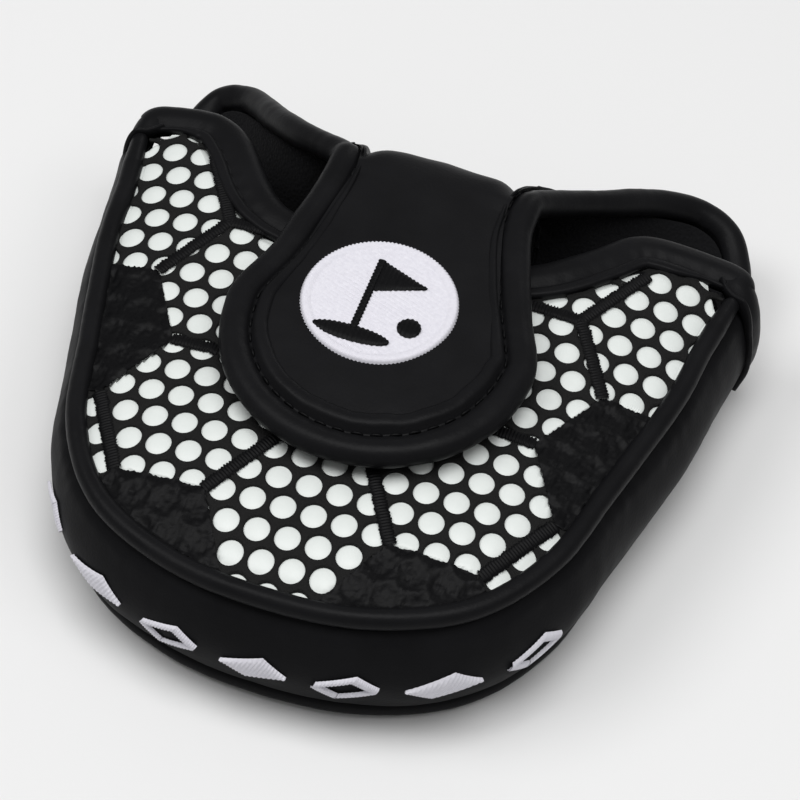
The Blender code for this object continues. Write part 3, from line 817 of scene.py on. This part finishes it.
def front_rim_path():
    """Route of the front binding: along the mouth, over each ear and down the gusset's end."""
    mouth = curve(joined(LEFT_MOUTH, RIGHT_MOUTH), 160)
    edge = np.column_stack([offset(mouth, -FRONT_ROLL), front_height(mouth) - EDGE_DEPTH])
    body = edge[12:-12:8]
    points = np.vstack([swapped(EAR - LEFT_EAR_IN), body, EAR])
    ups = np.vstack([swapped(EAR_UP), np.tile((0, 0, 1.0), (len(body), 1)), EAR_UP])
    both = curve(np.hstack([points, ups * 8]), 640)
    along_mouth = np.clip((57 - np.abs(both[:, :1])) / 6, 0, 1)
    both += (eased(both, 120) - both) * along_mouth
    up = both[:, 3:]
    return both[:, :3], up / np.linalg.norm(up, axis=1)[:, None]


def front_binding(material, stitch):
    path, up = (part[::-1] for part in front_rim_path())
    over_ear = smooth_step(np.clip((np.abs(path[:, 0]) - 48) / 9, 0, 1))
    wide = binding_section(FRONT_ROLL, FRONT_HIGH, FRONT_GROOVE, 2.75, -6.3)
    narrow = binding_section(FRONT_ROLL, FRONT_HIGH, FRONT_GROOVE, 2.3, -4.7)
    sections = puckered(between(wide, narrow, over_ear), path)
    rings = sweep(path, up, sections)
    on_band = np.clip((-sections[..., 0] - ROLL) / 0.9, 0, 1)
    upright = np.clip((up[:, 2:] - 0.35) / 0.4, 0, 1)
    upper = np.clip(sections[..., 1] - 0.2, 0, 1)
    lowest = drape(rings[..., :2]) + sections[..., 1] - DRAPE_DROP
    lift = eased(np.maximum(lowest - rings[..., 2], 0), 30)
    rings[..., 2] += on_band * upright * upper * lift
    obj = add_sweep("front_rim_roll", rings, material)
    ride(obj, "pouch", "black_leather", "front_rim_binding", "front_rim_band", "gusset_end_binding_left",
         "gusset_end_binding_right")
    seam = groove_line(path, up, -FRONT_ROLL - SEAM_IN, FRONT_SEAM)
    ride(add_stitches("front_rim_thread", seam, up, stitch), "pouch", "black_thread")


def groove_line(path, up, u, v):
    return sweep(path, up, np.array([[u, v]]))[:, 0]


def add_stitches(name, line, ups, material):
    """Thread stitches lying in a groove, each a small bent capsule."""
    count = int(reach_along(line)[-1] / STITCH_PITCH)
    fine = spaced(line, count * STITCH_STEPS + 1)
    lift = ups[np.linspace(0, len(ups) - 1, count).astype(int)]
    ring = circle(STITCH_RADIUS, STITCH_SIDES)
    rows = len(STITCH_TAPER)
    used_steps = int(STITCH_STEPS * STITCH_LENGTH / STITCH_PITCH)
    verts, faces = [], []
    for k in range(count):
        first = STITCH_STEPS * k
        part = spaced(fine[first:first + 1 + used_steps], rows)
        t = tangents(part)
        side = np.cross(t, lift[k])
        side /= np.maximum(np.linalg.norm(side, axis=1), 1e-6)[:, None]
        top = np.cross(side, t)
        part = part - top * (STITCH_DIP * STITCH_ENDS)[:, None]
        around = side[:, None] * ring[None, :, :1] + top[:, None] * ring[None, :, 1:]
        rings = part[:, None] + around * STITCH_TAPER[:, None, None]
        start = k * rows * STITCH_SIDES
        verts.append(rings.reshape(-1, 3))
        faces += grid_faces(rows, STITCH_SIDES, start, wrap=True)
        last = start + (rows - 1) * STITCH_SIDES
        faces += [tuple(range(start, start + STITCH_SIDES))[::-1], tuple(range(last, last + STITCH_SIDES))]
    return add_mesh(name, np.vstack(verts), faces, material)


# ---- gusset and piping

def gusset_grid(rows, count, out=0.0):
    line = outline(count)
    t = tangents(line)
    outward = np.stack([t[:, 1], -t[:, 0]], 1)
    grid = np.zeros((rows, count, 3))
    for j, v in enumerate(np.linspace(0, 1, rows)):
        grid[j, :, :2] = line + outward * (WALL_OUT + out + WALL_BULGE * math.sin(math.pi * v))
        grid[j, :, 2] = WALL_LOW + (WALL_HIGH - WALL_LOW) * v
    return grid, outward


def gusset(material):
    """The side wall: tucked in at both seams, creased below the upper one, and softly swollen."""
    grid, outward = gusset_grid(WALL_ROWS, 361)
    level = np.linspace(0, 1, WALL_ROWS)[:, None]
    down = 1 - level
    tuck = 1.3 * np.exp(-(down / 0.055) ** 2) + 1.2 * np.exp(-(level / 0.06) ** 2)
    swell = uneven(grid, 16, 0.5) + uneven(grid * (1, 1, 0.35), 4, 0.10, 3)
    creases = uneven(grid * (1, 1, 0.2), 2.4, 0.28, 8) * np.exp(-(down / 0.16) ** 2)
    grid[..., :2] += outward[None] * (swell - tuck + creases)[..., None]
    grid[..., 2] += 0.5 * level ** 6 - 0.5 * down ** 6
    obj = add_grids("gusset_skin", [grid], material, thickness=1.0)
    ride(obj, "pouch", "black_leather", "gusset_outer", "gusset_foam")


def welts(material):
    for name, z, node, trim in (("front_piping", FRONT_WELT_Z, "front_welt", WELT_TRIM),
                                ("back_piping", BACK_WELT_Z, "back_welt", 0.0)):
        path = spaced(welt_line(z, trim), WELT_POINTS)
        radius = WELT_RADIUS * (1 + 0.035 * random_at(path / 6) + 0.02 * random_at(path / 1.5))
        if trim:
            order = np.arange(WELT_POINTS)
            full = np.clip(np.minimum(order, order[::-1]) / END_POINTS, 0, 1)
            radius *= END_SHARE + (1 - END_SHARE) * full
            path[:, 2] -= END_DROP * (1 - full)
        section = circle(1, 20)[None] * radius[:, None, None]
        rings = sweep(path, np.tile((0, 0, 1.0), (len(path), 1)), section)
        obj = ride(add_sweep(name, rings, material, flip=True), "pouch", "black_leather", node)


def frame_bars():
    """The four satin bars of a framed lozenge, as u and v on the wall and their rise."""
    corners = np.array([(-1, 0), (0, 1), (1, 0), (0, -1), (-1, 0)], float)
    size = (MOTIF_LONG / 2 - 0.9, MOTIF_HIGH / 2 - 0.7)
    run = np.linspace(0.0, 1.0, FRAME_POINTS)[:, None]
    side = np.linspace(-1, 1, 9)[None]
    wide = FRAME_HALF + MOTIF_RIDGE * paired(FRAME_POINTS)[:, None]
    rise = FRAME_RISE * np.sqrt(1 - side ** 2) + MOTIF_RIDGE * paired(FRAME_POINTS)[:, None]
    grids = []
    for start, end in zip(corners, corners[1:]):
        middle = (start * (1 - run) + end * run) * size
        grids.append((middle[:, :1] + 0 * side, middle[:, 1:] + side * wide * FRAME_HALF, rise))
    return grids


def solid_lozenge():
    """The rows of satin stitch of a solid lozenge, as u and v on the wall and their rise."""
    rows = np.arange(-SOLID_ROWS, SOLID_ROWS + 1) / SOLID_ROWS
    half = (1 - np.abs(rows)) * MOTIF_HIGH / 2 + 0.15 + 0.12 * paired(len(rows))
    side = np.linspace(-1, 1, 15)[None]
    rise = SOLID_RISE * np.sqrt(1 - side ** 2) + MOTIF_RIDGE * paired(len(rows))[:, None]
    return [(rows[:, None] * MOTIF_LONG / 2 + 0 * side, side * half[:, None], rise)]


def on_gusset(line, along, z, rise):
    """Points standing a little proud of the wall, at a distance along it from its middle and a height."""
    t = tangents(line)
    middle, step = len(line) // 2, np.linalg.norm(line[1] - line[0])
    at = np.clip(middle + along / step, 0, len(line) - 2)
    low = np.floor(at).astype(int)
    share = (at - low)[..., None]
    xy = line[low] * (1 - share) + line[low + 1] * share
    outward = np.stack([t[low, 1], -t[low, 0]], -1)
    level = (z - WALL_LOW) / (WALL_HIGH - WALL_LOW)
    out = WALL_OUT + WALL_BULGE * np.sin(np.pi * level) + rise + MOTIF_LIFT
    return np.dstack([xy + outward * out[..., None], z])


def motifs(material):
    """Satin-stitched lozenges on the gusset: framed ones and solid ones by turns."""
    line = outline(2001)
    for k in range(MOTIFS):
        centre = (k - (MOTIFS - 1) / 2) * MOTIF_PITCH
        sheets = [on_gusset(line, centre + u + v * MOTIF_SLANT, MOTIF_Z + v, rise)
                  for u, v, rise in (frame_bars() if k % 2 == 0 else solid_lozenge())]
        obj = add_grids(f"gusset_lozenge_{k + 1}", sheets, material)
        ride(obj, "pouch", "white_thread", f"gusset_motif_{k + 1}")


# ---- back panel, fold and flap

def rim_lines():
    """The back panel's free edge, from left to right: its fold in the middle, its rims at the sides."""
    steps = range(1 - FOLD_COLUMNS, FOLD_COLUMNS)
    middle = [(FOLD_HALF * k / FOLD_COLUMNS, *RIGHT_RIM[0][1:]) for k in steps]
    return np.vstack([swapped(curve(LEFT_RIM, RIM_COLUMNS)), middle, curve(RIGHT_RIM, RIM_COLUMNS)])


def riser_turn(x):
    """Direction in which the back panel reaches its free edge: forward at the fold, outward at the ears."""
    return np.radians(EAR_TURN + FOLD_TURN * np.exp(-np.maximum(0, np.abs(x) - FOLD_HALF) / TURN_FALL))


def riser_grid():
    """The outer face from the flat back panel's end up to the fold and out to the ears."""
    edge = rim_lines()
    widest = edge[:, 0].max()
    side = offset(BACK_FLAT, -0.3)[-1, 0]
    start = np.column_stack([edge[:, 0] / widest * side, np.full(len(edge), FLAT_END), np.zeros(len(edge))])
    away = np.abs(edge[:, 0])
    dip = np.clip(away / FOLD_HALF * 3 - 2, 0, 1) ** 2 * np.exp(-np.maximum(0, away - FOLD_HALF) / DIP_FALL)
    turn = riser_turn(edge[:, 0]) - np.radians(FOLD_DIP) * dip
    share = np.minimum(1, away / widest)
    low_pull = LOW_PULL - LOW_FALL * share
    high_pull = HIGH_PULL - HIGH_FALL * share
    b = start + np.column_stack([0 * share, low_pull, 0 * share])
    c = edge - np.column_stack([0 * share, np.cos(turn), np.sin(turn)]) * high_pull[:, None]
    t = np.linspace(0, 1, RISER_ROWS)[:, None, None]
    s = 1 - t
    return start * s ** 3 + b * 3 * s * s * t + c * 3 * s * t * t + edge * t ** 3


def riser_inward(riser):
    """Inward normals of the riser, steadied near its free edge, where its columns crowd together."""
    turn = riser_turn(rim_lines()[:, 0])
    at_rim = np.column_stack([0 * turn, -np.sin(turn), np.cos(turn)])[None]
    near_rim = np.clip((np.linspace(0, 1, RISER_ROWS)[:, None, None] - 0.7) / 0.2, 0, 1)
    return grid_normals(riser) * (1 - near_rim) + at_rim * near_rim


def flap_reach(xy):
    """Distance from the flap's spine, scaled so that its outside is at the tip radius."""
    x, y = xy[..., 0], xy[..., 1]
    tip = np.hypot(x, np.minimum(y - FLAP_Y, 0))
    taper = (FLAP_RADIUS - ROOT_HALF) * np.clip((y - FLAP_Y) / (HINGE_Y - FLAP_Y), 0, 1)
    return tip + np.where(y > FLAP_Y, taper, 0)


def flap_face(inset, level, puff):
    """One face of the flap from its root to its tip, with columns that meet the fold's."""
    columns = 2 * FOLD_COLUMNS + 1
    root_x = np.linspace(-FOLD_HALF, FOLD_HALF, columns)
    root = np.column_stack([root_x, np.full(columns, HINGE_Y - ROOT_GAP)])
    radius = FLAP_RADIUS - inset
    a = np.linspace(np.pi, 2 * np.pi, columns)
    tip = np.column_stack([radius * np.cos(a), FLAP_Y + radius * np.sin(a)])
    plan = ruled(root, tip, FLAP_ROWS)
    filled = 1 - np.exp(-np.maximum(FLAP_RADIUS - PUFF_INSET - flap_reach(plan), 0) / PUFF_FALL)
    face = askew(np.dstack([plan, FLAP_MID + level + puff * filled]))
    face[..., 2] += uneven(face, 13, 0.35, 4) + uneven(face, 4, 0.08, 6)
    return face


def askew(points):
    """The flap lies slightly to one side of its root."""
    share = np.clip((HINGE_Y - SHIFT_START - points[..., 1]) / SHIFT_LENGTH, 0, 1)
    moved = np.array(points, float)
    moved[..., 0] += FLAP_SHIFT * smooth_step(share)
    return moved


def closure_mesh(name, rise, face, material, flip):
    """The riser and a face of the flap as one sheet, joined along the fold."""
    rows, wide = rise.shape[:2]
    start = rows * wide
    first = start - wide + wide // 2 - FOLD_COLUMNS
    join = [(first + i, first + i + 1, start + i + 1, start + i) for i in range(2 * FOLD_COLUMNS)]
    faces = grid_faces(rows, wide) + join + grid_faces(*face.shape[:2], start=start)
    if flip:
        faces = [f[::-1] for f in faces]
    obj = add_mesh(name, np.vstack([rise.reshape(-1, 3), face.reshape(-1, 3)]), faces, material)
    ease = obj.modifiers.new("ease", 'SMOOTH')
    ease.iterations = 3
    return obj


def closure(skin, lining):
    """The leather from the back panel's flat up over the fold to the flap's tip, and the lining inside it."""
    riser = riser_grid()
    inward = riser_inward(riser)

    swell = uneven(riser, 14, 0.5, 2) + uneven(riser, 4.5, 0.12, 5)
    rise = riser + inward * swell[..., None]
    face = flap_face(LEATHER_INSET, FLAP_UPPER, FLAP_PUFF)
    outer = closure_mesh("closure_leather", rise, face, skin, flip=True)
    fold(outer, "black_leather", "flap_outer", "flap_foam")

    rise = riser + inward * LINING_DEPTH
    swell = uneven(rise, 14, 0.5, 2) + uneven(rise, 4.5, 0.12, 5)
    rise = rise + inward * swell[..., None] * 2
    face = flap_face(LINING_INSET, FLAP_LOWER, LINING_PUFF)
    inner = closure_mesh("closure_lining", rise, face, lining, flip=False)
    thicken(inner, LINING_THICK)
    fold(inner, "lining", "flap_lining")


def side_binding(edge):
    """Half of the closure binding's route, from the flap's tip to the right ear, with up vectors and widths.

    edge runs along the back panel's rim from the fold to the ear.
    """
    along = tangents(edge)
    turn = riser_turn(edge[:, 0])
    normal = np.column_stack([0 * turn, np.sin(turn), -np.cos(turn)])
    normal -= along * (normal * along).sum(1)[:, None]
    normal /= np.linalg.norm(normal, axis=1)[:, None]
    rim = edge + np.cross(along, normal) * (ROLL + RIM_GAP) - normal * RIM_DROP
    root = FOLD_HALF + ROLL
    side = np.array([(root + 5.0, 17.5, FLAP_MID), (root + 2.6, 27, FLAP_MID),
                     (root + 0.6, 36, FLAP_MID + 0.4)])
    radius = FLAP_RADIUS - ROLL
    a = np.radians(np.arange(-78, 9, 12))
    tip = np.column_stack([radius * np.cos(a), FLAP_Y + radius * np.sin(a), np.full(len(a), FLAP_MID)])
    picks = [1, 5, 9, 14, 19, 24, 29, 34, 38, 42, 46, 50, 54]
    path = np.vstack([tip, side, rim[picks]])
    ups = np.vstack([np.tile((0, 0, 1.0), (len(tip) + len(side), 1)), normal[picks]])
    widths = [np.linspace(1, 0.72, len(tip)), [0.5, 0.42, 0.2], np.linspace(0.02, 0.5, len(picks))]
    return np.column_stack([path, ups, np.concatenate(widths)])


def closure_binding_path():
    """Route of the closure's binding: gusset end, back rim, fold, flap, and back again."""
    right = side_binding(curve(RIGHT_RIM, RIM_COLUMNS))
    left = side_binding(curve(LEFT_RIM, RIM_COLUMNS))[::-1] * (-1, 1, 1, -1, 1, 1, 1)
    tip = [(0, FLAP_Y - FLAP_RADIUS + ROLL, FLAP_MID, 0, 0, 1, 1)]
    return askew(np.vstack([left, tip, right]))


def closure_binding(material, stitch):
    weight = 5  # of up vectors and widths against places, as the curve is spaced
    both = curve(closure_binding_path() * (1, 1, 1, *[weight] * 4), 960)
    path, up, width = both[:, :3], both[:, 3:6], np.clip(both[:, 6] / weight, 0, 1)
    up = up / np.linalg.norm(up, axis=1)[:, None]
    narrow = binding_section(ROLL, ROLL_HIGH, FLAP_GROOVE, 2.5, -4.1)
    wide = binding_section(ROLL, ROLL_HIGH, FLAP_GROOVE, 3.35, -7.2)
    sections = between(narrow, wide, width)
    at_fold = np.exp(-((path[:, 1] - FOLD_Y - 2) / 5) ** 2) * (np.abs(path[:, 0]) < 22)
    on_band = sections[..., 0] < -ROLL - 0.1
    sections[..., 1] -= 0.6 * at_fold[:, None] * on_band
    obj = add_sweep("closure_binding", sweep(path, up, puckered(sections, path)), material, flip=True)
    fold(obj, "black_leather", "flap_binding", "flap_band", "back_rim_binding_left", "back_rim_binding_right",
         "flap_binding_cord")
    seam = groove_line(path, up, -ROLL - SEAM_IN, FLAP_SEAM)
    fold(add_stitches("closure_thread", seam, up, stitch), "black_thread")


def back_panel(material):
    start = riser_grid()[0, :, :2]
    grid = ruled(offset(spaced(BACK_FLAT, len(start)), 0.3), start, 60)
    z = 0.12 * np.abs(np.sin(grid[..., 0] / 23) * np.cos(grid[..., 1] / 19))
    obj = add_grids("back_skin", [np.dstack([grid, z])[::-1]], material, thickness=1.0)
    ride(obj, "pouch", "black_leather", "back_outer", "back_foam")


def pouch_lining(material):
    """Dark plush lining seen through the mouth: under the front, round the gusset and over the back."""
    front = ruled(offset(OUTLINE, 0.2), offset(MOUTH, 0.5), 90)
    under = np.dstack([front, front_height(front) - 5.9])
    under[..., 2] += uneven(under, 5, 0.5, 1)
    wall, outward = gusset_grid(30, 241, out=-4.0)
    wall[..., :2] += outward[None] * uneven(wall, 5, 0.5, 2)[..., None]
    start = riser_grid()[0, :, :2]
    plan = ruled(offset(spaced(BACK_FLAT, len(start)), 0.2), start, 50)
    over = np.dstack([plan, np.full(plan.shape[:2], 4.2)])
    over[..., 2] += uneven(over, 5, 0.4, 3)
    for name, grid, node, flat, rests_on in (
            ("front_plush", under[::-1], "front_lining", FRONT_CUT, "front_backing"),
            ("gusset_plush", wall[::-1], "gusset_lining", WALL_CUT, "gusset_skin"),
            ("back_plush", over, "back_lining", BACK_CUT, "back_skin")):
        sheet = ride(add_grids(name, [grid], material), "pouch", "lining", node)


# ---- badge

def badge_disc(material):
    """Round embroidered ground: filled stitch inside, satin stitch round the rim."""
    r = np.linspace(0.02, 1, BADGE_RINGS)[:, None]
    a = np.linspace(0, 2 * np.pi, BADGE_SIDES, endpoint=False)
    x, y = r * np.cos(a) * BADGE_RADIUS, r * np.sin(a) * BADGE_RADIUS
    ray = np.cos(np.arange(BADGE_SIDES) * np.pi)
    rim = RIM_RISE * np.sin(np.pi * np.clip((r - RIM_START) / (1 - RIM_START), 0, 1)) ** 0.7
    filled = FILL_RISE * np.sin((y * FILL_SLANT[1] + x * FILL_SLANT[0]) * 2 * np.pi / FILL_PITCH)
    stitches = np.where(r < RIM_START, filled, RADIAL_RISE * ray)
    drop = EDGE_DROP * np.clip((r - EDGE_START) / (1 - EDGE_START), 0, 1) ** 2
    jag = 1 + EDGE_JAG * ray * (r > JAG_START)
    grid = np.dstack([x * jag, y * jag + BADGE_Y, BADGE_TOP + rim + stitches - drop])
    faces = grid_faces(BADGE_RINGS, BADGE_SIDES, wrap=True)
    faces.append(tuple(range(BADGE_SIDES - 1, -1, -1)))
    obj = add_mesh("badge_embroidery", grid.reshape(-1, 3), [f[::-1] for f in faces], material)
    ride(obj, "flap", "white_thread", "badge_disc")


def badge_mark(name, low, high, material, *nodes):
    """Satin stitches from the low to the high line of a mark."""
    count = len(low)
    side = np.linspace(0, 1, MARK_SIDES)
    across = side[None, :, None]
    span = (high - low)[:, None]
    jag = MARK_JAG * paired(count)[:, None, None] * (across - 0.5) * 2
    long = np.maximum(np.linalg.norm(span, axis=2), 0.4)[..., None]
    plan = low[:, None] * (1 - across) + high[:, None] * across + span / long * jag
    bulge = MARK_RISE * np.sqrt(np.clip(1 - (2 * side - 1) ** 2, 0, 1))
    z = BADGE_TOP + MARK_GAP + bulge[None] + MARK_RIDGE * paired(count)[:, None]
    obj = add_grids(name, [np.dstack([plan[..., 0], plan[..., 1] + BADGE_Y, z])], material)
    ride(obj, "flap", "black_thread", *nodes)


def straight(ends, count):
    t = np.linspace(0, 1, count)[:, None]
    return np.array(ends[0]) * (1 - t) + np.array(ends[1]) * t


def oval(centre, half, rise, count):
    """Half of an oval from left to right, above its middle or below it by the sign of rise."""
    turn = np.linspace(0, np.pi, 30)
    x, y = centre[0] - half[0] * np.cos(turn), centre[1] + rise * half[1] * np.sin(turn)
    return curve(np.column_stack([x, y]), count)


def badge(white, black):
    """A flag on its pole, a hole and a ball in black on the white disc."""
    badge_disc(white)
    poles = [straight([(x, POLE_BOTTOM), (x, POLE_TOP)], 80) for x in (POLE_LEFT, POLE_RIGHT)]
    cups = [oval(CUP, CUP_HALF, rise, 70) for rise in (-1, 1)]
    dots = [oval(DOT, DOT_HALF, rise, 30) for rise in (-1, 1)]
    badge_mark("badge_pole", *poles, black, "badge_flag")
    badge_mark("badge_pennant", straight(PENNANT_LOW, 46), straight(PENNANT_HIGH, 46), black)
    badge_mark("badge_cup", *cups, black, "badge_hole")
    badge_mark("badge_dot", *dots, black, "badge_ball")


# ---- everything together

def finish_nodes(names, material):
    """Give a real finish to pieces that keep their CAD shape."""
    for name in names:
        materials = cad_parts[name].data.materials
        materials.clear()
        materials.append(material)


def main():
    place_camera()
    light_stage()
    floor()
    black = leather("black_leather", LEATHER, rough=(0.38, 0.5), gloss=0.065)
    wall = leather("wall_leather", LEATHER, rough=(0.42, 0.55), gloss=0.03)
    roll = leather("binding_leather", BINDING, rough=(0.36, 0.46), gloss=0.065)
    plush = cloth("plush_lining", PLUSH, scale=1500, roughness=0.95, bump=0.3)
    knit = cloth("mesh_knit", KNIT, scale=3000, roughness=0.75, bump=0.15)
    dark_thread = thread("black_embroidery", BLACK_THREAD, roughness=0.45, gloss=0.08)
    white_thread = thread("white_embroidery", WHITE_THREAD, roughness=0.6, gloss=0.15)
    cord = thread("piping_cord", CORD, roughness=0.8, gloss=0.15)
    front_mesh(knit)
    front_backing(backing("pale_backing"))
    dark_patches(dark_thread)
    satin_bands(dark_thread)
    front_binding(roll, dark_thread)
    gusset(wall)
    welts(roll)
    motifs(white_thread)
    back_panel(wall)
    closure(black, plush)
    closure_binding(roll, dark_thread)
    pouch_lining(plush)
    badge(white_thread, dark_thread)
    finish_nodes(("flap_magnet_left", "flap_magnet_right", "keeper_magnet_left", "keeper_magnet_right"),
                 steel("plated_steel"))
    finish_nodes(("front_welt_cord", "back_welt_cord"), cord)


main()
